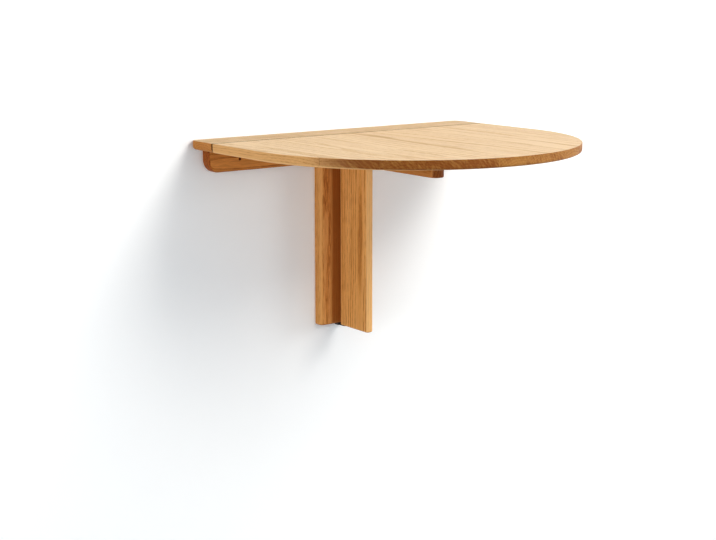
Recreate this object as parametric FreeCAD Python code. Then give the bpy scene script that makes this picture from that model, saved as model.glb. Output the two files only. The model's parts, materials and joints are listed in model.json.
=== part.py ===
import FreeCAD, Part
import math
import os

# Frame: X runs right along the wall, Y into the wall, Z up.
# The origin is on the wall plane, at mid width, at the height of the rail's wall screws.

# Table top: a fixed strip along the wall and the leaf that is hinged to it
table_width = 800.0
table_reach = 678.0
board_thickness = 21.0
strip_depth = 92.0
joint_gap = 4.0
strip_corner_radius = 16.0
strip_foot_radius = 9.0
leaf_foot_radius = 6.0
top_edge_radius = 1.2
joint_edge_radius = 0.8

# Wall frame: a rail under the strip and a post below the rail
rail_length = 735.0
rail_height = 56.0
rail_corner_radius = 30.0
rail_edge_radius = 8.0
frame_thickness = 24.0
post_width = 110.0
post_length = 402.0
post_edge_radius = 12.0
post_foot_radius = 5.0

# Wall screw holes: two in the rail, two down the right side of the post
wall_hole_radius = 3.5
rail_hole_spacing = 566.0
post_hole_side_margin = 17.0
post_hole_end_margin = 71.0

# Gate: a fin and an arm that swing together under the leaf
fin_thickness = 20.0
fin_reach = 138.0
fin_edge_radius = 8.0
fin_foot_radius = 4.0
fin_overhang = 4.0
arm_thickness = 37.0
arm_reach = 384.0
arm_drop = 2.5
arm_nose_share = 0.486
arm_foot_radius = 2.5
swing_gap = 0.4

# Gate pivots: a plate, a pin and a flanged bush at the top and at the bottom
pin_radius = 4.0
pin_engagement = 28.0
pin_running_gap = 0.05
bush_wall = 2.0
bush_end_room = 1.5
flange_width = 1.0
flange_thickness = 1.2
thrust_gap = 0.3
plate_corner_radius = 5.0
upper_plate_width = 42.0
upper_plate_thickness = 4.0
upper_plate_joint_margin = 6.6
upper_screw_pitch_share = 0.62
upper_screw_margin = 10.0
lower_plate_thickness = 2.0
lower_plate_wall_margin = 2.0
lower_nose_radius = 6.0
lower_screw_pitch_share = 0.48

# Leaf hinges, let in flush, with their knuckles in the underside of the joint
hinge_spacing = 460.0
hinge_length = 70.0
hinge_flap_width = 25.0
hinge_flap_thickness = 2.0
hinge_pin_radius = 1.8
hinge_knuckle_wall = 1.7
hinge_knuckle_count = 5
hinge_knuckle_gap = 0.3
hinge_groove_gap = 0.5
hinge_screw_pitch_share = 0.33
hinge_screw_offset_share = 0.62

# Countersunk wood screws
screw_shank_radius = 1.75
screw_head_radius = 3.5
screw_recess = 0.1
hinge_screw_length = 15.0
upper_screw_length = 18.0
lower_screw_length = 24.0

# Dowels of the glued joints
strip_dowel_radius = 3.0
strip_dowel_length = 30.0
strip_dowel_count = 4
strip_dowel_pitch_share = 0.287
strip_dowel_rise_share = 0.45
strip_dowel_edge_land = 2.0
post_dowel_radius = 5.0
post_dowel_length = 50.0
post_dowel_pitch_share = 0.55
gate_dowel_radius = 5.0
gate_dowel_length = 60.0
gate_dowel_margin = 26.0

# Felt pad, let into the arm, on which the leaf rests
pad_length = 36.0
pad_width = 24.0
pad_end_margin = 8.0
pad_recess = 1.5
pad_corner_radius = 4.0
pad_gap = 0.3

# Glue line, cutting overrun and the tolerance for finding edges in a plane
glue_gap = 0.05
overrun = 5.0
same_plane = 0.001

vector = FreeCAD.Vector
along_x = vector(1, 0, 0)
along_y = vector(0, 1, 0)

# Levels and lines that several pieces share
half_width = table_width / 2
underside_z = rail_height / 2
top_z = underside_z + board_thickness
joint_y = -(strip_depth + joint_gap / 2)
leaf_back_y = -(strip_depth + joint_gap)
post_top_z = -rail_height / 2
post_bottom_z = post_top_z - post_length
frame_mid_y = -frame_thickness / 2
gate_back_y = -(frame_thickness + swing_gap)
pivot_radius = fin_thickness / 2
pivot_x = pivot_radius
pivot_y = gate_back_y - pivot_radius
arm_top_z = underside_z - upper_plate_thickness - thrust_gap
arm_bottom_z = post_top_z - arm_drop
fin_bottom_z = post_bottom_z - fin_overhang
bush_radius = pin_radius + pin_running_gap + bush_wall
flange_radius = bush_radius + flange_width
knuckle_radius = hinge_pin_radius + hinge_knuckle_wall
hinge_places = {"left": -hinge_spacing / 2, "right": hinge_spacing / 2}


# Basic solids

def block(x_low, x_high, y_low, y_high, z_low, z_high):
    corner = vector(x_low, y_low, z_low)
    return Part.makeBox(x_high - x_low, y_high - y_low, z_high - z_low, corner)


def upright(radius, x, y, z_one, z_other):
    base = vector(x, y, min(z_one, z_other))
    return Part.makeCylinder(radius, abs(z_other - z_one), base)


def bar_along_x(radius, x_low, x_high, y, z):
    return Part.makeCylinder(radius, x_high - x_low, vector(x_low, y, z), along_x)


def bar_along_y(radius, y_low, y_high, x, z):
    return Part.makeCylinder(radius, y_high - y_low, vector(x, y_low, z), along_y)


def line(start, end):
    return Part.LineSegment(start, end).toShape()


def arc(start, middle, end):
    return Part.Arc(start, middle, end).toShape()


def prism(edges, height):
    return Part.Face(Part.Wire(edges)).extrude(vector(0, 0, height))


# Edges picked by the plane that they lie in

def edges_in_plane(shape, axis, place):
    found = []
    for edge in shape.Edges:
        box = edge.BoundBox
        low = {"x": box.XMin, "y": box.YMin, "z": box.ZMin}[axis]
        high = {"x": box.XMax, "y": box.YMax, "z": box.ZMax}[axis]
        if abs(low - place) < same_plane and abs(high - place) < same_plane:
            found.append(edge)
    return found


def shared(edges, others):
    return [edge for edge in edges if any(edge.isSame(other) for other in others)]


def without(edges, others):
    return [edge for edge in edges if not any(edge.isSame(other) for other in others)]


def level_edges(shape):
    box = shape.BoundBox
    return edges_in_plane(shape, "z", box.ZMin) + edges_in_plane(shape, "z", box.ZMax)


def upright_edges(shape, y):
    return without(edges_in_plane(shape, "y", y), level_edges(shape))


# Countersunk screws, all driven upwards, with the head just below the face that it sits in

def screw(place, face_z, length, gap=0):
    x, y = place
    shank_radius = screw_shank_radius + gap
    head_height = screw_head_radius - screw_shank_radius
    head_z = face_z + screw_recess
    point_z = face_z + length - screw_shank_radius
    head = Part.makeCone(screw_head_radius + gap, shank_radius, head_height, vector(x, y, head_z))
    shank = upright(shank_radius, x, y, head_z + head_height, point_z)
    point = Part.makeCone(shank_radius, 0, shank_radius, vector(x, y, point_z))
    return head.fuse([shank, point]).removeSplitter()


def screws(places, face_z, length):
    return Part.makeCompound([screw(place, face_z, length) for place in places])


def screw_holes(places, face_z, length):
    holes = [screw(place, face_z, length, glue_gap) for place in places]
    mouth_radius = screw_head_radius + glue_gap
    holes += [upright(mouth_radius, x, y, face_z - overrun, face_z + screw_recess) for x, y in places]
    return holes


# Dowels, plain round pegs across a glued joint

def row_of(count, pitch):
    return [(step - (count - 1) / 2) * pitch for step in range(count)]


def dowels(places, radius, z_low, z_high):
    return Part.makeCompound([upright(radius, x, y, z_low, z_high) for x, y in places])


def dowel_holes(places, radius, end_z, mouth_z):
    outward = math.copysign(1, mouth_z - end_z)
    floor_z = end_z - outward * glue_gap
    rim_z = mouth_z + outward * overrun
    return [upright(radius + glue_gap, x, y, floor_z, rim_z) for x, y in places]


strip_dowel_top_z = underside_z + strip_dowel_length * strip_dowel_rise_share
strip_dowel_bottom_z = strip_dowel_top_z - strip_dowel_length
strip_dowel_y = -(strip_foot_radius + strip_dowel_edge_land + strip_dowel_radius)
strip_dowel_row = row_of(strip_dowel_count, rail_length * strip_dowel_pitch_share)
strip_dowel_places = [(x, strip_dowel_y) for x in strip_dowel_row]

post_dowel_top_z = post_top_z + post_dowel_length / 2
post_dowel_bottom_z = post_top_z - post_dowel_length / 2
post_dowel_places = [(x, frame_mid_y) for x in row_of(2, post_width * post_dowel_pitch_share)]

gate_dowel_top_z = arm_bottom_z + gate_dowel_length / 2
gate_dowel_bottom_z = arm_bottom_z - gate_dowel_length / 2
gate_dowel_rows = (gate_back_y - gate_dowel_margin, -fin_reach + gate_dowel_margin)
gate_dowel_places = [(pivot_x, y) for y in gate_dowel_rows]


# Leaf hinges: a flap with its own knuckles on each side of the joint, and a pin through them all

fixed_knuckles = range(0, hinge_knuckle_count, 2)
moving_knuckles = range(1, hinge_knuckle_count, 2)


def hinge_screw_places(side):
    y = joint_y + side * hinge_flap_width * hinge_screw_offset_share
    row = row_of(3, hinge_length * hinge_screw_pitch_share)
    return [(hinge_x + x, y) for hinge_x in hinge_places.values() for x in row]


strip_hinge_screw_places = hinge_screw_places(1)
leaf_hinge_screw_places = hinge_screw_places(-1)


def hinge_ends(hinge_x):
    return hinge_x - hinge_length / 2, hinge_x + hinge_length / 2


def flap_block(hinge_x, side, gap, low_z):
    x_low, x_high = hinge_ends(hinge_x)
    far_y = joint_y + side * (hinge_flap_width + gap)
    high_z = underside_z + hinge_flap_thickness
    return block(x_low - gap, x_high + gap, min(joint_y, far_y), max(joint_y, far_y), low_z, high_z)


def hinge_recesses(side):
    recesses = []
    groove_radius = knuckle_radius + hinge_groove_gap
    for hinge_x in hinge_places.values():
        x_low, x_high = hinge_ends(hinge_x)
        recesses.append(flap_block(hinge_x, side, glue_gap, underside_z - overrun))
        recesses.append(
            bar_along_x(groove_radius, x_low - glue_gap, x_high + glue_gap, joint_y, underside_z))
    return recesses


def hinge_flap(hinge_x, side, own_knuckles, pin_gap, screw_places):
    x_low, x_high = hinge_ends(hinge_x)
    flap = flap_block(hinge_x, side, 0, underside_z)
    pitch = hinge_length / hinge_knuckle_count
    for index in range(hinge_knuckle_count):
        start = x_low + index * pitch
        end = start + pitch
        if index in own_knuckles:
            flap = flap.fuse(bar_along_x(knuckle_radius, start, end, joint_y, underside_z))
        else:
            room = knuckle_radius + hinge_groove_gap
            notch_ends = (start - hinge_knuckle_gap, end + hinge_knuckle_gap)
            flap = flap.cut(bar_along_x(room, *notch_ends, joint_y, underside_z))
    bore_radius = hinge_pin_radius + pin_gap
    bore = bar_along_x(bore_radius, x_low - overrun, x_high + overrun, joint_y, underside_z)
    holes = screw_holes(screw_places, underside_z, hinge_screw_length)
    return flap.cut([bore] + holes).removeSplitter()


def hinge_pin(hinge_x):
    return bar_along_x(hinge_pin_radius, *hinge_ends(hinge_x), joint_y, underside_z)


# Gate pivots

upper_plate_front_y = -strip_depth + upper_plate_joint_margin
upper_plate_face_z = underside_z - upper_plate_thickness
lower_plate_top_z = fin_bottom_z - thrust_gap
lower_plate_face_z = lower_plate_top_z - lower_plate_thickness
upper_screw_columns = row_of(2, upper_plate_width * upper_screw_pitch_share)
upper_screw_rows = (pivot_y, upper_plate_front_y + upper_screw_margin)
upper_screw_places = [(pivot_x + x, y) for x in upper_screw_columns for y in upper_screw_rows]
lower_screw_columns = row_of(2, fin_thickness * lower_screw_pitch_share)
lower_screw_places = [(pivot_x + x, frame_mid_y) for x in lower_screw_columns]


def pivot_hole(radius, z_one, z_other):
    return upright(radius + glue_gap, pivot_x, pivot_y, z_one, z_other)


def upper_pivot_plate():
    half = upper_plate_width / 2
    plate = block(pivot_x - half, pivot_x + half, upper_plate_front_y, gate_back_y,
                  upper_plate_face_z, underside_z)
    corners = upright_edges(plate, upper_plate_front_y) + upright_edges(plate, gate_back_y)
    plate = plate.makeFillet(plate_corner_radius, corners)
    seat = pivot_hole(pin_radius, upper_plate_face_z - overrun, underside_z + overrun)
    return plate.cut([seat] + screw_holes(upper_screw_places, upper_plate_face_z, upper_screw_length))


# The lower plate steps down from the post's foot to a tongue under the fin

def lower_pivot_plate():
    wall_end_y = -lower_plate_wall_margin
    foot_front_y = post_foot_radius - frame_thickness
    foot = block(pivot_x - pivot_radius, pivot_x + pivot_radius, foot_front_y, wall_end_y,
                 lower_plate_face_z, post_bottom_z)
    foot = foot.makeFillet(plate_corner_radius, upright_edges(foot, wall_end_y))
    tongue = block(pivot_x - lower_nose_radius, pivot_x + lower_nose_radius, pivot_y, frame_mid_y,
                   lower_plate_face_z, lower_plate_top_z)
    nose = upright(lower_nose_radius, pivot_x, pivot_y, lower_plate_face_z, lower_plate_top_z)
    plate = foot.fuse([tongue, nose]).removeSplitter()
    seat = pivot_hole(pin_radius, lower_plate_face_z - overrun, lower_plate_top_z + overrun)
    return plate.cut([seat] + screw_holes(lower_screw_places, lower_plate_face_z, lower_screw_length))


def pivot_pin(plate_back_z, tip_z):
    return upright(pin_radius, pivot_x, pivot_y, plate_back_z, tip_z)


# A bush is let into the gate with its flange flush, and bush_seat is the stepped hole for it

def flanged_bush(face_z, inward):
    end_z = face_z + inward * pin_engagement
    sleeve = upright(bush_radius, pivot_x, pivot_y, face_z, end_z)
    flange = upright(flange_radius, pivot_x, pivot_y, face_z, face_z + inward * flange_thickness)
    bore = upright(pin_radius + pin_running_gap, pivot_x, pivot_y,
                   face_z - inward * overrun, end_z + inward * overrun)
    return sleeve.fuse(flange).cut(bore).removeSplitter()


def bush_seat(face_z, inward):
    mouth_z = face_z - inward * overrun
    end_z = face_z + inward * (pin_engagement + bush_end_room)
    flange_end_z = face_z + inward * (flange_thickness + glue_gap)
    return [pivot_hole(bush_radius, mouth_z, end_z), pivot_hole(flange_radius, mouth_z, flange_end_z)]


# Table top: its outer edges are crisp above and rounder below, and finer along the joint

def eased(board, joint_face_y, foot_radius):
    upper = without(edges_in_plane(board, "z", top_z), edges_in_plane(board, "y", joint_face_y))
    board = board.makeFillet(top_edge_radius, upper)
    lower = without(edges_in_plane(board, "z", underside_z), edges_in_plane(board, "y", joint_face_y))
    board = board.makeFillet(foot_radius, lower)
    return board.makeFillet(joint_edge_radius, edges_in_plane(board, "y", joint_face_y))


def wall_strip():
    strip = block(-half_width, half_width, -strip_depth, 0, underside_z, top_z)
    strip = strip.makeFillet(strip_corner_radius, upright_edges(strip, 0))
    strip = eased(strip, -strip_depth, strip_foot_radius)
    holes = dowel_holes(strip_dowel_places, strip_dowel_radius, strip_dowel_top_z, underside_z)
    holes += screw_holes(upper_screw_places, upper_plate_face_z, upper_screw_length)
    holes += screw_holes(strip_hinge_screw_places, underside_z, hinge_screw_length)
    return strip.cut(holes + hinge_recesses(1))


def drop_leaf():
    round_y = -table_reach + half_width
    left_back = vector(-half_width, leaf_back_y, underside_z)
    left_front = vector(-half_width, round_y, underside_z)
    front = vector(0, -table_reach, underside_z)
    right_front = vector(half_width, round_y, underside_z)
    right_back = vector(half_width, leaf_back_y, underside_z)
    outline = [line(left_back, left_front), arc(left_front, front, right_front),
               line(right_front, right_back), line(right_back, left_back)]
    leaf = eased(prism(outline, board_thickness), leaf_back_y, leaf_foot_radius)
    holes = screw_holes(leaf_hinge_screw_places, underside_z, hinge_screw_length)
    return leaf.cut(holes + hinge_recesses(-1))


# Wall frame

def wall_holes(places):
    return [bar_along_y(wall_hole_radius, -frame_thickness - overrun, overrun, x, z) for x, z in places]


def wall_rail():
    half = rail_length / 2
    rail = block(-half, half, -frame_thickness, 0, post_top_z, underside_z)
    foot = edges_in_plane(rail, "z", post_top_z)
    ends = edges_in_plane(rail, "x", -half) + edges_in_plane(rail, "x", half)
    rail = rail.makeFillet(rail_corner_radius, shared(foot, ends))
    front = edges_in_plane(rail, "y", -frame_thickness)
    rail = rail.makeFillet(rail_edge_radius, without(front, edges_in_plane(rail, "z", underside_z)))
    holes = wall_holes([(x, 0) for x in row_of(2, rail_hole_spacing)])
    holes += dowel_holes(strip_dowel_places, strip_dowel_radius, strip_dowel_bottom_z, underside_z)
    holes += dowel_holes(post_dowel_places, post_dowel_radius, post_dowel_top_z, post_top_z)
    return rail.cut(holes)


def wall_post():
    half = post_width / 2
    post = block(-half, half, -frame_thickness, 0, post_bottom_z, post_top_z)
    post = post.makeFillet(post_edge_radius, upright_edges(post, -frame_thickness))
    foot = edges_in_plane(post, "z", post_bottom_z)
    post = post.makeFillet(post_foot_radius, without(foot, edges_in_plane(post, "y", 0)))
    hole_x = half - post_hole_side_margin
    hole_levels = (post_bottom_z + post_hole_end_margin, post_top_z - post_hole_end_margin)
    holes = wall_holes([(hole_x, z) for z in hole_levels])
    holes += dowel_holes(post_dowel_places, post_dowel_radius, post_dowel_bottom_z, post_top_z)
    holes += screw_holes(lower_screw_places, lower_plate_face_z, lower_screw_length)
    return post.cut(holes)


# Gate boards: the left back edge is round about the pivot and lets the gate fold to the left,
# the square right back edge stops it at right angles to the wall

def gate_board(thickness, reach, z_low, z_high, end_radius):
    slant = pivot_radius * math.sqrt(2) / 2
    left_front = vector(0, -reach, z_low)
    left_back = vector(0, pivot_y, z_low)
    round_middle = vector(pivot_x - slant, pivot_y + slant, z_low)
    back_left = vector(pivot_x, gate_back_y, z_low)
    back_right = vector(thickness, gate_back_y, z_low)
    right_front = vector(thickness, -reach, z_low)
    outline = [line(left_front, left_back), arc(left_back, round_middle, back_left),
               line(back_left, back_right), line(back_right, right_front),
               line(right_front, left_front)]
    board = prism(outline, z_high - z_low)
    return board.makeFillet(end_radius, upright_edges(board, -reach))


def pad_block(gap, top):
    x_mid = arm_thickness / 2
    half = pad_width / 2 + gap
    y_low = -arm_reach + pad_end_margin - gap
    y_high = -arm_reach + pad_end_margin + pad_length + gap
    pad = block(x_mid - half, x_mid + half, y_low, y_high, arm_top_z - pad_recess, top)
    return pad.makeFillet(pad_corner_radius, upright_edges(pad, y_low) + upright_edges(pad, y_high))


def gate_arm():
    nose_radius = arm_thickness * arm_nose_share
    arm = gate_board(arm_thickness, arm_reach, arm_bottom_z, arm_top_z, nose_radius)
    arm = arm.makeFillet(arm_foot_radius, edges_in_plane(arm, "z", arm_bottom_z))
    holes = dowel_holes(gate_dowel_places, gate_dowel_radius, gate_dowel_top_z, arm_bottom_z)
    holes += bush_seat(arm_top_z, -1)
    holes.append(pad_block(glue_gap, arm_top_z + overrun))
    return arm.cut(holes)


def gate_fin():
    fin = gate_board(fin_thickness, fin_reach, fin_bottom_z, arm_bottom_z, fin_edge_radius)
    fin = fin.makeFillet(fin_foot_radius, edges_in_plane(fin, "z", fin_bottom_z))
    holes = dowel_holes(gate_dowel_places, gate_dowel_radius, gate_dowel_bottom_z, arm_bottom_z)
    return fin.cut(holes + bush_seat(fin_bottom_z, 1))


pieces = {
    "wall_strip": wall_strip(),
    "drop_leaf": drop_leaf(),
    "wall_rail": wall_rail(),
    "wall_post": wall_post(),
    "gate_arm": gate_arm(),
    "gate_fin": gate_fin(),
    "arm_pad": pad_block(0, underside_z - pad_gap),
    "strip_dowels": dowels(strip_dowel_places, strip_dowel_radius, strip_dowel_bottom_z, strip_dowel_top_z),
    "post_dowels": dowels(post_dowel_places, post_dowel_radius, post_dowel_bottom_z, post_dowel_top_z),
    "gate_dowels": dowels(gate_dowel_places, gate_dowel_radius, gate_dowel_bottom_z, gate_dowel_top_z),
    "upper_pivot_plate": upper_pivot_plate(),
    "upper_pivot_pin": pivot_pin(underside_z, arm_top_z - pin_engagement),
    "upper_pivot_bush": flanged_bush(arm_top_z, -1),
    "upper_pivot_screws": screws(upper_screw_places, upper_plate_face_z, upper_screw_length),
    "lower_pivot_plate": lower_pivot_plate(),
    "lower_pivot_pin": pivot_pin(lower_plate_face_z, fin_bottom_z + pin_engagement),
    "lower_pivot_bush": flanged_bush(fin_bottom_z, 1),
    "lower_pivot_screws": screws(lower_screw_places, lower_plate_face_z, lower_screw_length),
    "strip_hinge_screws": screws(strip_hinge_screw_places, underside_z, hinge_screw_length),
    "leaf_hinge_screws": screws(leaf_hinge_screw_places, underside_z, hinge_screw_length),
}
for name, hinge_x in hinge_places.items():
    pieces[name + "_hinge_fixed_flap"] = hinge_flap(
        hinge_x, 1, fixed_knuckles, glue_gap, strip_hinge_screw_places)
    pieces[name + "_hinge_moving_flap"] = hinge_flap(
        hinge_x, -1, moving_knuckles, pin_running_gap, leaf_hinge_screw_places)
    pieces[name + "_hinge_pin"] = hinge_pin(hinge_x)

os.makedirs("parts", exist_ok=True)
for name, shape in pieces.items():
    shape.exportStep("parts/" + name + ".step")
    print(name, "solids:", len(shape.Solids), "valid:", shape.isValid())
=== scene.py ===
import json
import math

import bpy
from mathutils import Matrix, Vector


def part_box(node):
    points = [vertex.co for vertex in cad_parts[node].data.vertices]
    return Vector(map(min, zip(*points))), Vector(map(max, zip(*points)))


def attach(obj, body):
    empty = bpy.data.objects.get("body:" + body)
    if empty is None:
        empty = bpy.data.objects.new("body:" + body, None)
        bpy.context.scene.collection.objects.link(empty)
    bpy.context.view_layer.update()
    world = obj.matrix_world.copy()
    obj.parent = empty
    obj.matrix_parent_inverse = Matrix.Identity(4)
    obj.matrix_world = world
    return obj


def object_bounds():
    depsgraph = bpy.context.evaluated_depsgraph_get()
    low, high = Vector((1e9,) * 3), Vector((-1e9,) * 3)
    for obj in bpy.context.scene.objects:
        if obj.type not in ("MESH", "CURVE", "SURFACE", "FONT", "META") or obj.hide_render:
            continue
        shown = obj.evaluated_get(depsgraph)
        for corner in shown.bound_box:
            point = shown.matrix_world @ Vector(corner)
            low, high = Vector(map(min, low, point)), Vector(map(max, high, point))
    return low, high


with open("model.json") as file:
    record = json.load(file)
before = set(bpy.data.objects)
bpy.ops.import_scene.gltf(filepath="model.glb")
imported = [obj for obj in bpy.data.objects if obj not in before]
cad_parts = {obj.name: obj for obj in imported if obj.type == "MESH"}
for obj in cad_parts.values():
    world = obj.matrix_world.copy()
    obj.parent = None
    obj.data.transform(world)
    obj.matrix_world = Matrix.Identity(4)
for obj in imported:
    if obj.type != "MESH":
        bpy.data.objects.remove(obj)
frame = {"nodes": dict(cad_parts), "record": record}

# Every length is in metres and every colour is linear.
nodes = frame["nodes"]
cad_low, cad_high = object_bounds()
X, Y, Z = range(3)

# Oak: one growth ring each 5.5 mm, good and lean years in bands, pores that run along the grain
ring_pitch = 0.0055
ring_jitter = 0.7
year_band = 0.014
pore_width = 0.0003
pore_length = 0.006
fleck_width = 0.0018
fleck_length = 0.022
ray_width = 0.0034
ray_length = 0.018
ray_slope = 0.7
streak_width = 0.007
streak_length = 0.20
cloud_width = 0.05
cloud_length = 0.9
grain_sway = 0.02
grain_sway_length = 0.55
pith_spread = 0.11
pith_depth = 0.075
stave_shift = 7.31
board_margin = 0.01

# Where each pattern of the oak sets in and where it is full
early_rise = (0.0, 0.10)
early_fall = (0.60, 0.12)
pore_onset = (0.60, 0.70)
fleck_onset = (0.42, 0.64)
late_pores = 0.3
thirst_range = (0.18, 0.56)
tone_range = (0.40, 1.10)

# What each pattern adds to the tone, to the dark lines and to the end grain's thirst
early_weight = 0.24
streak_weight = 0.45
year_weight = 0.25
cloud_weight = 0.25
plain_stave_step = 0.18
leaf_stave_step = 0.13
pore_dark = 0.60
fleck_dark = 0.80
ray_thirst = 0.6
stave_thirst = -0.3

# Faces are told apart by a part of their normal, between these two values
below_top_facing = (0.97, 0.80)
end_facing = (0.30, 0.60)
joint_facing = (0.35, 0.75)
lower_edge_facing = ((-0.05, -0.5), (-0.98, -0.8))
upright_edge_facing = (0.97, 0.85)
front_facing = (-0.3, -0.7)

# Surface of the oak
oak_gloss = 0.10
oak_roughness = 0.40
early_roughness = 0.10
cloud_roughness = 0.12
oak_relief = 0.00012
ring_relief = -0.35

# Tones of the oak and of the beech dowels, from late wood to the early wood's dark lines
leaf_tones = ((0.86, 0.62, 0.36), (0.79, 0.54, 0.29), (0.57, 0.34, 0.15))
strip_tones = ((0.714, 0.488, 0.258), (0.64, 0.42, 0.208), (0.47, 0.272, 0.109))
# Rail, post, fin and arm stand under the leaf and get darker, redder tones than the top boards: painted
# shade, deepest on the rail and the arm
rail_tones = ((0.77, 0.303, 0.065), (0.59, 0.199, 0.036), (0.22, 0.051, 0.006))
post_tones = ((0.83, 0.39, 0.115), (0.70, 0.280, 0.064), (0.33, 0.098, 0.014))
fin_tones = ((0.92, 0.460, 0.142), (0.79, 0.340, 0.080), (0.36, 0.112, 0.017))
arm_tones = ((0.61, 0.255, 0.066), (0.50, 0.186, 0.039), (0.325, 0.099, 0.016))
beech_tones = ((0.70, 0.50, 0.29), (0.62, 0.42, 0.23), (0.52, 0.33, 0.17))

# Painted sheen: every face of the top boards but the upper one is darker, so the upper one reads paler;
# end grain darkens most
painted_sheen_tint = (0.915, 0.69, 0.44)
plain_tint = (1.0, 1.0, 1.0)
leaf_end_tints = ((0.57, 0.485, 0.31), (0.31, 0.172, 0.068))
strip_end_tints = ((1.0, 0.82, 0.57), (0.84, 0.62, 0.37))
# The rail's and the arm's end tints are darker than the rest: painted shade under the strip and the
# leaf
rail_end_tints = ((0.66, 0.46, 0.34), (0.45, 0.30, 0.22))
arm_end_tints = ((0.56, 0.43, 0.30), (0.41, 0.30, 0.19))
end_tints = ((0.80, 0.66, 0.52), (0.58, 0.46, 0.34))

# Painted highlight on rounded edges along the grain, and painted shade on the rail's: how much they
# change, and to which tone
plain_edge_highlight_share = 0.45
leaf_edge_highlight = (0.6, (1.0, 0.58, 0.24))
rail_edge_shade = (0.30, (0.22, 0.051, 0.006))
fin_edge_highlight = (0.6, (1.0, 0.60, 0.25))

# Painted shade on the post beside the fin, a darker band: middle, half width, softness and share
post_fin_shade = (0.007, 0.0295, 0.009, 0.85)

# Staves, side by side from the start
leaf_stave_width = 0.072
leaf_stave_start = -0.290
post_stave_width = 0.073
post_stave_start = -0.091

# Glue lines between staves, and the dark that they turn to, which also paints shade on the faces in the
# joint
seam_widths = (0.0005, 0.0002)
seam_share = 0.3
glue_and_shade_tint = (0.05, 0.022, 0.01)

# Cross recesses in the screw heads, drawn as dark crosses of painted shade: four arms that narrow
# outwards, each cross turned from the last
recess_reach = 0.0023
recess_widths = (0.0011, 0.0007)
recess_proud = 0.00004
recess_depth = 0.0003
recess_turn = 2.4

# Stage: each sheet's white as it lights the object and as it is seen, and a glow where it is seen
floor_drop = 1.55
stage_reach = 8.0
wall_reach = 2.4
wall_clearance = 0.0004
wall_contact = 0.0015
wall_whites = (0.60, 1.1, 0.0)
floor_whites = (0.35, 1.0, 0.60)
paper_tint = (0.98, 1.0, 1.006)

# Light: a surround, and soft lamps as (direction, distance, size, watts, colour)
surround_level = 0.45
surround_colour = (0.92, 0.99, 1.08)
lamps = {
    "key": ((0.47, -1.0, 0.92), 5.0, 2.6, 177, (1.05, 1.0, 0.94)),
    "front": ((0.20, -1.0, 0.04), 4.5, 1.0, 20, (1.0, 1.0, 1.0)),
    "right": ((1.0, -0.75, 0.08), 4.5, 1.2, 33, (1.0, 1.0, 1.0)),
    "side": ((-1.0, -0.14, 0.06), 4.0, 1.2, 46, (1.0, 1.0, 1.0)),
    "back": ((0.25, 1.0, 0.30), 4.5, 1.5, 60, (1.0, 1.0, 1.0)),
}

# Camera, solved from the photograph's straight edges and its half round front
camera_place = (-2.0118, -2.7494, 0.3866)
camera_pitch = 11.389
camera_yaw = 37.228
image_width = 716
focal_pixels = 1400
sensor_width = 36


class Shader:
    """A material's node tree, with short calls for the nodes that the finishes share."""

    def __init__(self, name):
        self.material = bpy.data.materials.new(name)
        self.material.use_nodes = True
        self.tree = self.material.node_tree
        self.surface = self.tree.nodes["Principled BSDF"].inputs
        self.output = self.tree.nodes["Material Output"].inputs["Surface"]

    def set(self, socket, value):
        if isinstance(value, bpy.types.NodeSocket):
            self.tree.links.new(value, socket)
        elif hasattr(value, "__len__") and socket.type == "RGBA":
            socket.default_value = (*value, 1)
        else:
            socket.default_value = value

    def put(self, kind, inputs, **settings):
        node = self.tree.nodes.new("ShaderNode" + kind)
        for name, value in settings.items():
            setattr(node, name, value)
        for key, value in inputs.items():
            self.set(node.inputs[key], value)
        return node

    def math(self, operation, *values):
        return self.put("Math", dict(enumerate(values)), operation=operation).outputs[0]

    def split(self, vector):
        return self.put("SeparateXYZ", {0: vector}).outputs

    def join(self, x, y, z):
        return self.put("CombineXYZ", {0: x, 1: y, 2: z}).outputs[0]

    def noise(self, vector, detail=2.0):
        return self.put("TexNoise", {"Vector": vector, "Scale": 1.0, "Detail": detail}).outputs[0]

    def span(self, value, low, high, to_low=0.0, to_high=1.0):
        inputs = {0: value, 1: low, 2: high, 3: to_low, 4: to_high}
        return self.put("MapRange", inputs, interpolation_type="SMOOTHSTEP").outputs[0]

    def mix(self, share, first, second, blend="MIX"):
        inputs = {0: share, 6: first, 7: second}
        return self.put("Mix", inputs, data_type="RGBA", blend_type=blend).outputs[2]

    def bump(self, height, distance):
        inputs = {"Height": height, "Distance": distance, "Strength": 1.0}
        self.set(self.surface["Normal"], self.put("Bump", inputs).outputs[0])


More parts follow.
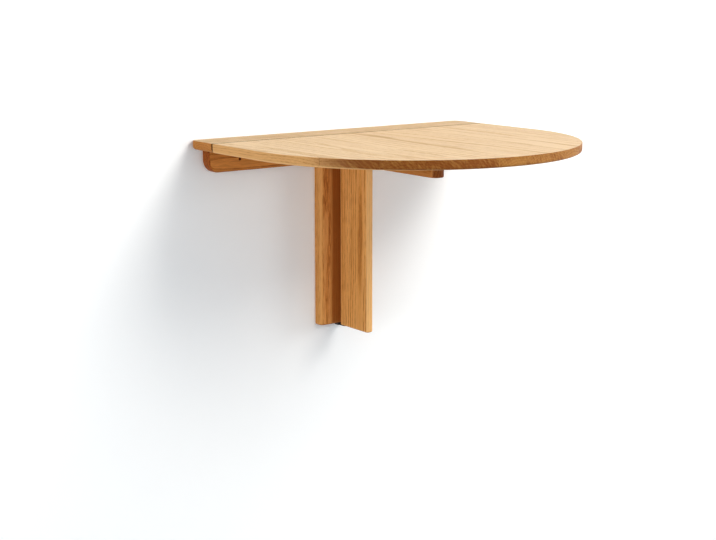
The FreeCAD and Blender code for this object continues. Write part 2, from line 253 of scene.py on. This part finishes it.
def oak(name, node, tones, grain, across, seed, stave_width=None, stave_start=None,
        sheen_tint=plain_tint, ends=end_tints, joint=0, stave_step=plain_stave_step,
        edges=None, front=False, shade_band=None):
    """Solid oak that is cut from rings round a pith, so faces and end grain belong together.

    Staves lie side by side along the across axis, each from another place in the log and up
    to a stave_step darker. A piece with no stave width is one board. A joint of 1 or -1 is the
    way along Y that the piece's face in the joint looks, and that face gets painted shade. The
    tint below the top darkens every face but the upper one, whose paler colour is painted sheen.
    The edge pair is the share and the tone of a painted highlight on rounded edges along the
    grain, on the rail a painted shade, and front counts the front face among them. The shade
    band is a darker band of painted shade: its middle, half width, softness and share."""
    s = Shader(name)
    depth = 3 - grain - across
    low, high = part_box(node)
    if stave_width is None:
        stave_width = (high[across] - low[across]) * (1 + 2 * board_margin)
        stave_start = low[across] - stave_width * board_margin
    coords = s.put("TexCoord", {}).outputs
    place = s.split(coords["Object"])
    facing = s.split(coords["Normal"])
    along, side = place[grain], place[across]
    deep = s.math("SUBTRACT", place[depth], (low[depth] + high[depth]) / 2)

    # Which stave, and where its pith lies
    stave = s.math("DIVIDE", s.math("SUBTRACT", side, stave_start), stave_width)
    number = s.math("FLOOR", stave)
    dice = s.put("TexWhiteNoise", {"W": s.math("ADD", number, seed)}, noise_dimensions="1D").outputs[1]
    luck = s.split(dice)
    off_side = s.math("MULTIPLY", s.math("SUBTRACT", luck[X], 0.5), pith_spread)
    middle = s.math("MULTIPLY_ADD", s.math("ADD", number, 0.5), stave_width, stave_start)
    from_side = s.math("SUBTRACT", side, s.math("ADD", middle, off_side))
    from_deep = s.math("ADD", deep, s.math("MULTIPLY_ADD", luck[Y], pith_depth, pith_depth / 2))
    shift = s.math("MULTIPLY_ADD", number, stave_shift, seed)

    def stretched(width, length):
        """Coordinates for a pattern of that width which is drawn out along the grain."""
        return s.join(s.math("MULTIPLY_ADD", side, 1 / width, shift), s.math("DIVIDE", deep, width),
                      s.math("MULTIPLY_ADD", along, 1 / length, shift))

    # Growth rings, with a slow sway along the board
    sway = s.math("SUBTRACT", s.noise(stretched(pith_spread, grain_sway_length)), 0.5)
    radius = s.math("SQRT", s.math("ADD", s.math("POWER", from_side, 2), s.math("POWER", from_deep, 2)))
    swayed = s.math("MULTIPLY_ADD", sway, grain_sway, radius)
    streaks = s.noise(stretched(streak_width, streak_length), 3)
    rings = s.math("DIVIDE", swayed, ring_pitch)
    phase = s.math("FRACT", s.math("MULTIPLY_ADD", streaks, ring_jitter, rings))
    early = s.math("MULTIPLY", s.span(phase, *early_rise), s.span(phase, *early_fall))
    years = s.noise(s.join(s.math("DIVIDE", swayed, year_band), shift, 0.0), 1)
    clouds = s.noise(stretched(cloud_width, cloud_length))
    pores = s.span(s.noise(stretched(pore_width, pore_length), 0), *pore_onset)
    porous = s.math("MULTIPLY_ADD", early, 1 - late_pores, late_pores)
    pores = s.math("MULTIPLY", pores, porous)
    flecks = s.span(s.noise(stretched(fleck_width, fleck_length), 1), *fleck_onset)
    flecks = s.math("MULTIPLY", flecks, porous)

    # Tone: years, rings and streaks along the grain, and a step from stave to stave
    tone = s.math("MULTIPLY_ADD", early, early_weight, s.math("MULTIPLY", streaks, streak_weight))
    tone = s.math("MULTIPLY_ADD", years, year_weight, tone)
    tone = s.math("MULTIPLY_ADD", clouds, cloud_weight, tone)
    tone = s.math("MULTIPLY_ADD", luck[Z], stave_step, tone)
    ramp = s.put("ValToRGB", {0: s.span(tone, *tone_range)})
    ramp.color_ramp.elements.new(0.5)
    for stop, colour in zip(ramp.color_ramp.elements, tones):
        stop.color = (*colour, 1)
    pore_lines = s.math("MULTIPLY", pores, pore_dark)
    fleck_lines = s.math("MULTIPLY", flecks, fleck_dark)
    colour = s.mix(s.math("MAXIMUM", pore_lines, fleck_lines), ramp.outputs[0], tones[2])

    # Painted shade, a darker band along the grain with soft sides, beside the fin
    if shade_band:
        centre, half_width, soft, share = shade_band
        wavy = s.math("MULTIPLY_ADD", sway, soft, side)
        off = s.math("ABSOLUTE", s.math("SUBTRACT", wavy, centre))
        inner = s.span(off, half_width + soft, half_width - soft, 0.0, share)
        colour = s.mix(inner, colour, tones[2])

    # Painted sheen, every face below the top darker than the top, and end grain that drinks more, most
    # of all in lean years
    darker_sides = s.mix(1.0, colour, sheen_tint, "MULTIPLY")
    colour = s.mix(s.span(facing[Z], *below_top_facing), colour, darker_sides)
    end = s.span(s.math("ABSOLUTE", facing[grain]), *end_facing)
    across_rays = s.math("DIVIDE", s.math("MULTIPLY_ADD", deep, ray_slope, side), ray_width)
    along_rays = s.math("DIVIDE", s.math("MULTIPLY_ADD", side, -ray_slope, deep), ray_length)
    rays = s.noise(s.join(across_rays, along_rays, shift), 1)
    open_pores = s.math("MULTIPLY_ADD", rays, ray_thirst, s.math("MULTIPLY", years, 1 - ray_thirst))
    thirst = s.span(s.math("MULTIPLY_ADD", luck[Z], stave_thirst, open_pores), *thirst_range)
    colour = s.mix(end, colour, s.mix(1.0, colour, s.mix(thirst, *ends), "MULTIPLY"))

    # Glue lines are dark, and the faces in the joint get painted shade
    seam = s.span(s.math("PINGPONG", stave, 0.5), *[width / stave_width for width in seam_widths])
    glued = s.mix(1.0, colour, glue_and_shade_tint, "MULTIPLY")
    colour = s.mix(s.math("MULTIPLY", seam, seam_share), colour, glued)
    if joint:
        joint_shade = s.span(s.math("MULTIPLY", facing[Y], joint), *joint_facing)
        colour = s.mix(joint_shade, colour, s.mix(1.0, colour, glue_and_shade_tint, "MULTIPLY"))

    # Rounded edges along the grain get a painted highlight, and the rail's a painted shade
    level = s.math("MULTIPLY", *[s.span(facing[Z], *limits) for limits in lower_edge_facing])
    steep = s.math("MAXIMUM", *[s.math("ABSOLUTE", facing[axis]) for axis in (X, Y)])
    upright = s.span(steep, *upright_edge_facing)
    painted_edge_mask = level if joint else s.math("MAXIMUM", level, upright)
    if front:
        painted_edge_mask = s.math("MAXIMUM", painted_edge_mask, s.span(facing[Y], *front_facing))
    painted_edge_mask = s.math("MULTIPLY", painted_edge_mask, s.math("SUBTRACT", 1.0, end))
    share, edge_tone = edges or (plain_edge_highlight_share, tones[0])
    colour = s.mix(s.math("MULTIPLY", painted_edge_mask, share), colour, edge_tone)

    s.set(s.surface["Base Color"], colour)
    rough = s.math("MULTIPLY_ADD", clouds, cloud_roughness, oak_roughness)
    s.set(s.surface["Roughness"], s.math("MULTIPLY_ADD", early, early_roughness, rough))
    s.surface["Specular IOR Level"].default_value = oak_gloss
    s.bump(s.math("MULTIPLY_ADD", pores, -1.0, s.math("MULTIPLY", early, ring_relief)), oak_relief)
    return s.material


def steel(name, colour, roughness, lay, mark_width, mark_length):
    """Plated or turned metal with fine marks that run along the lay axis."""
    haze_onset, dulled, mark_roughness, relief = (0.35, 0.7), 0.72, 0.25, 0.00003
    s = Shader(name)
    place = s.split(s.put("TexCoord", {}).outputs["Object"])
    scale = [1 / (mark_length if axis == lay else mark_width) for axis in (X, Y, Z)]
    marks = s.noise(s.join(*[s.math("MULTIPLY", place[i], scale[i]) for i in (X, Y, Z)]), 4)
    haze = s.noise(s.join(*[s.math("DIVIDE", place[i], mark_length * 2) for i in (X, Y, Z)]))
    dull = [c * dulled for c in colour]
    s.set(s.surface["Base Color"], s.mix(s.span(haze, *haze_onset), colour, dull))
    s.set(s.surface["Roughness"], s.math("MULTIPLY_ADD", marks, mark_roughness, roughness))
    s.surface["Metallic"].default_value = 1.0
    s.bump(marks, relief)
    return s.material


def coating(name, colour, grit):
    """Matt powder coat with the fine orange peel of a sprayed part."""
    peel_onset, lit, peel_roughness, roughness, relief = (0.4, 0.7), 1.8, 0.2, 0.45, 0.00008
    s = Shader(name)
    place = s.split(s.put("TexCoord", {}).outputs["Object"])
    peel = s.noise(s.join(*[s.math("DIVIDE", place[i], grit) for i in (X, Y, Z)]), 3)
    pale = [c * lit for c in colour]
    s.set(s.surface["Base Color"], s.mix(s.span(peel, *peel_onset), colour, pale))
    s.set(s.surface["Roughness"], s.math("MULTIPLY_ADD", peel, peel_roughness, roughness))
    s.bump(peel, relief)
    return s.material


def pressed_felt(name, colour, fibre):
    """Wool felt: a mat of short fibres, soft at grazing angles."""
    mat_onset, lit, roughness, sheen, relief = (0.3, 0.75), 2.2, 0.95, 0.4, 0.0004
    s = Shader(name)
    place = s.split(s.put("TexCoord", {}).outputs["Object"])
    mat = s.noise(s.join(*[s.math("DIVIDE", place[i], fibre) for i in (X, Y, Z)]), 6)
    pale = [c * lit for c in colour]
    s.set(s.surface["Base Color"], s.mix(s.span(mat, *mat_onset), colour, pale))
    s.surface["Roughness"].default_value = roughness
    s.surface["Sheen Weight"].default_value = sheen
    s.bump(mat, relief)
    return s.material


def head_middles(screws):
    """The middle of each screw head in a node, whose flat heads all look down at one height."""
    points = [v.co for v in screws.data.vertices]
    face_z = min(point.z for point in points)
    heads = []
    for face in screws.data.polygons:
        if face.center.z < face_z + recess_proud:
            corners = set(face.vertices)
            corners.update(*[head for head in heads if head & corners])
            heads = [head for head in heads if not head & corners] + [corners]
    for head in heads:
        around = [points[index] for index in head]
        low = Vector([min(point[axis] for point in around) for axis in (X, Y, Z)])
        high = Vector([max(point[axis] for point in around) for axis in (X, Y, Z)])
        yield (low + high) / 2


def cross_recesses(node, body, material):
    """One dark cross of painted shade in each head of a node's screws, every cross turned another way.
    """
    verts, faces = [], []
    wide, narrow = (width / 2 for width in recess_widths)
    for count, middle in enumerate(head_middles(nodes[node])):
        ring = []
        for arm in range(4):
            for out, side in ((recess_reach, -narrow), (recess_reach, narrow), (wide, wide)):
                turn = Matrix.Rotation(count * recess_turn + arm * math.pi / 2, 3, "Z")
                ring.append(middle + turn @ Vector((out, side, 0)))
        first, size = len(verts), len(ring)
        for lift in (-recess_proud, recess_depth):
            verts += [point + Vector((0, 0, lift)) for point in ring]
        faces.append([first + i for i in reversed(range(size))])
        faces.append([first + size + i for i in range(size)])
        for i in range(size):
            j = (i + 1) % size
            faces.append([first + i, first + j, first + size + j, first + size + i])
    mesh = bpy.data.meshes.new(node + "_recesses")
    mesh.from_pydata(verts, [], faces)
    mesh.materials.append(material)
    piece = bpy.data.objects.new(node + "_recesses", mesh)
    bpy.context.scene.collection.objects.link(piece)
    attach(piece, body)


def stage_paper(name, bounced, shown, glow):
    """A white stage that takes the object's shadow, and is clear from behind and where it touches."""
    s = Shader(name)
    rays = s.put("LightPath", {}).outputs
    seen = s.math("MAXIMUM", rays["Is Camera Ray"], rays["Is Glossy Ray"])
    seen = s.math("MAXIMUM", seen, rays["Is Transmission Ray"])
    white = s.math("MULTIPLY_ADD", seen, shown - bounced, bounced)
    tinted = s.join(*[s.math("MULTIPLY", white, share) for share in paper_tint])
    matt = s.put("BsdfDiffuse", {"Color": tinted}).outputs[0]
    shine = s.put("Emission", {"Strength": s.math("MULTIPLY", seen, glow)}).outputs[0]
    lit = s.put("AddShader", {0: matt, 1: shine}).outputs[0]
    touching = s.math("LESS_THAN", rays["Ray Length"], wall_contact)
    behind = s.math("MAXIMUM", s.put("NewGeometry", {}).outputs["Backfacing"], touching)
    clear = s.put("BsdfTransparent", {}).outputs[0]
    s.set(s.output, s.put("MixShader", {0: behind, 1: lit, 2: clear}).outputs[0])
    return s.material


def stage_sheet(name, corners, material):
    """One flat sheet of the stage."""
    mesh = bpy.data.meshes.new(name)
    mesh.from_pydata(corners, [], [range(len(corners))])
    mesh.materials.append(material)
    sheet = bpy.data.objects.new(name, mesh)
    bpy.context.scene.collection.objects.link(sheet)


# Finishes, by the node that they dress
finish = {
    "drop_leaf": oak("oak_leaf", "drop_leaf", leaf_tones, grain=Y, across=X, seed=322,
                     stave_width=leaf_stave_width, stave_start=leaf_stave_start, sheen_tint=painted_sheen_tint,
                     ends=leaf_end_tints, joint=1, stave_step=leaf_stave_step, edges=leaf_edge_highlight),
    "wall_strip": oak("oak_strip", "wall_strip", strip_tones, grain=X, across=Y, seed=11,
                      sheen_tint=painted_sheen_tint, ends=strip_end_tints, joint=-1),
    "wall_rail": oak("oak_rail", "wall_rail", rail_tones, grain=X, across=Z, seed=183,
                     ends=rail_end_tints, edges=rail_edge_shade),
    "wall_post": oak("oak_post", "wall_post", post_tones, grain=Z, across=X, seed=73,
                     stave_width=post_stave_width, stave_start=post_stave_start, shade_band=post_fin_shade),
    "gate_fin": oak("oak_fin", "gate_fin", fin_tones, grain=Z, across=Y, seed=89,
                    edges=fin_edge_highlight, front=True),
    "gate_arm": oak("oak_arm", "gate_arm", arm_tones, grain=Y, across=Z, seed=14,
                    ends=arm_end_tints),
    "arm_pad": pressed_felt("felt", (0.05, 0.047, 0.043), fibre=0.0006),
}
slots = {
    "beech_dowel": oak("beech_dowel", "gate_dowels", beech_tones, grain=Z, across=X, seed=21),
    "black_steel": coating("black_steel", (0.010, 0.010, 0.011), grit=0.0007),
    "hinge_steel": steel("hinge_steel", (0.44, 0.44, 0.43), roughness=0.30,
                         lay=X, mark_width=0.0004, mark_length=0.014),
    "pin_steel": steel("pin_steel", (0.64, 0.64, 0.64), roughness=0.16,
                       lay=Y, mark_width=0.0002, mark_length=0.006),
    "screw_steel": steel("screw_steel", (0.56, 0.53, 0.45), roughness=0.26,
                         lay=Y, mark_width=0.0003, mark_length=0.004),
    "bronze_bush": steel("bronze_bush", (0.66, 0.42, 0.19), roughness=0.30,
                         lay=Z, mark_width=0.0003, mark_length=0.004),
}
for part in frame["record"]["subparts"]:
    node = nodes[part["node"]]
    node.data.materials.clear()
    node.data.materials.append(finish.get(part["node"]) or slots[part["material_slot"]])

# Painted shade in the screw heads' cross recesses, on the body that each node's screws ride on
shade = coating("recess_shade", (0.014, 0.013, 0.012), grit=0.0004)
for body, members in frame["record"]["behaviour"]["bodies"].items():
    for node in members:
        if node.endswith("_screws"):
            cross_recesses(node, body, shade)

# Stage: a wall behind the object and a floor well below it
floor_z = cad_high.z - floor_drop
wall_y = cad_high.y + wall_clearance
stage_sheet("wall", [(-wall_reach, wall_y, floor_z), (wall_reach, wall_y, floor_z),
                     (wall_reach, wall_y, wall_reach), (-wall_reach, wall_y, wall_reach)],
            stage_paper("wall_white", *wall_whites))
stage_sheet("floor", [(-stage_reach, -stage_reach, floor_z), (stage_reach, -stage_reach, floor_z),
                      (stage_reach, wall_y, floor_z), (-stage_reach, wall_y, floor_z)],
            stage_paper("floor_white", *floor_whites))

# An even surround, white where it is seen, and soft lamps aimed at the object's middle
scene = bpy.context.scene
world = bpy.data.worlds.new("surround")
scene.world = world
world.use_nodes = True
sky = world.node_tree
rays = sky.nodes.new("ShaderNodeLightPath").outputs
lit = sky.nodes["Background"]
lit.inputs["Color"].default_value = (*surround_colour, 1)
lit.inputs["Strength"].default_value = surround_level
white = sky.nodes.new("ShaderNodeBackground")
white.inputs["Color"].default_value = (1, 1, 1, 1)
seen = rays["Is Camera Ray"]
for ray in ("Is Glossy Ray", "Is Transmission Ray"):
    either = sky.nodes.new("ShaderNodeMath")
    either.operation = "MAXIMUM"
    sky.links.new(seen, either.inputs[0])
    sky.links.new(rays[ray], either.inputs[1])
    seen = either.outputs[0]
blend = sky.nodes.new("ShaderNodeMixShader")
for index, socket in enumerate((seen, lit.outputs[0], white.outputs[0])):
    sky.links.new(socket, blend.inputs[index])
sky.links.new(blend.outputs[0], sky.nodes["World Output"].inputs["Surface"])

middle = (cad_low + cad_high) / 2
for name, (direction, distance, size, watts, colour) in lamps.items():
    light = bpy.data.lights.new(name, "AREA")
    light.size = size
    light.energy = watts
    light.color = colour
    towards = Vector(direction).normalized()
    lamp = bpy.data.objects.new(name, light)
    lamp.location = middle + towards * distance
    lamp.rotation_euler = (-towards).to_track_quat("-Z", "Y").to_euler()
    scene.collection.objects.link(lamp)

# Camera at the photograph's place
lens = bpy.data.cameras.new("camera")
lens.sensor_width = sensor_width
lens.lens = sensor_width * focal_pixels / image_width
camera = bpy.data.objects.new("camera", lens)
camera.location = camera_place
camera.rotation_euler = (math.radians(90 - camera_pitch), 0, math.radians(-camera_yaw))
scene.collection.objects.link(camera)
scene.camera = camera
scene.view_settings.view_transform = "Standard"
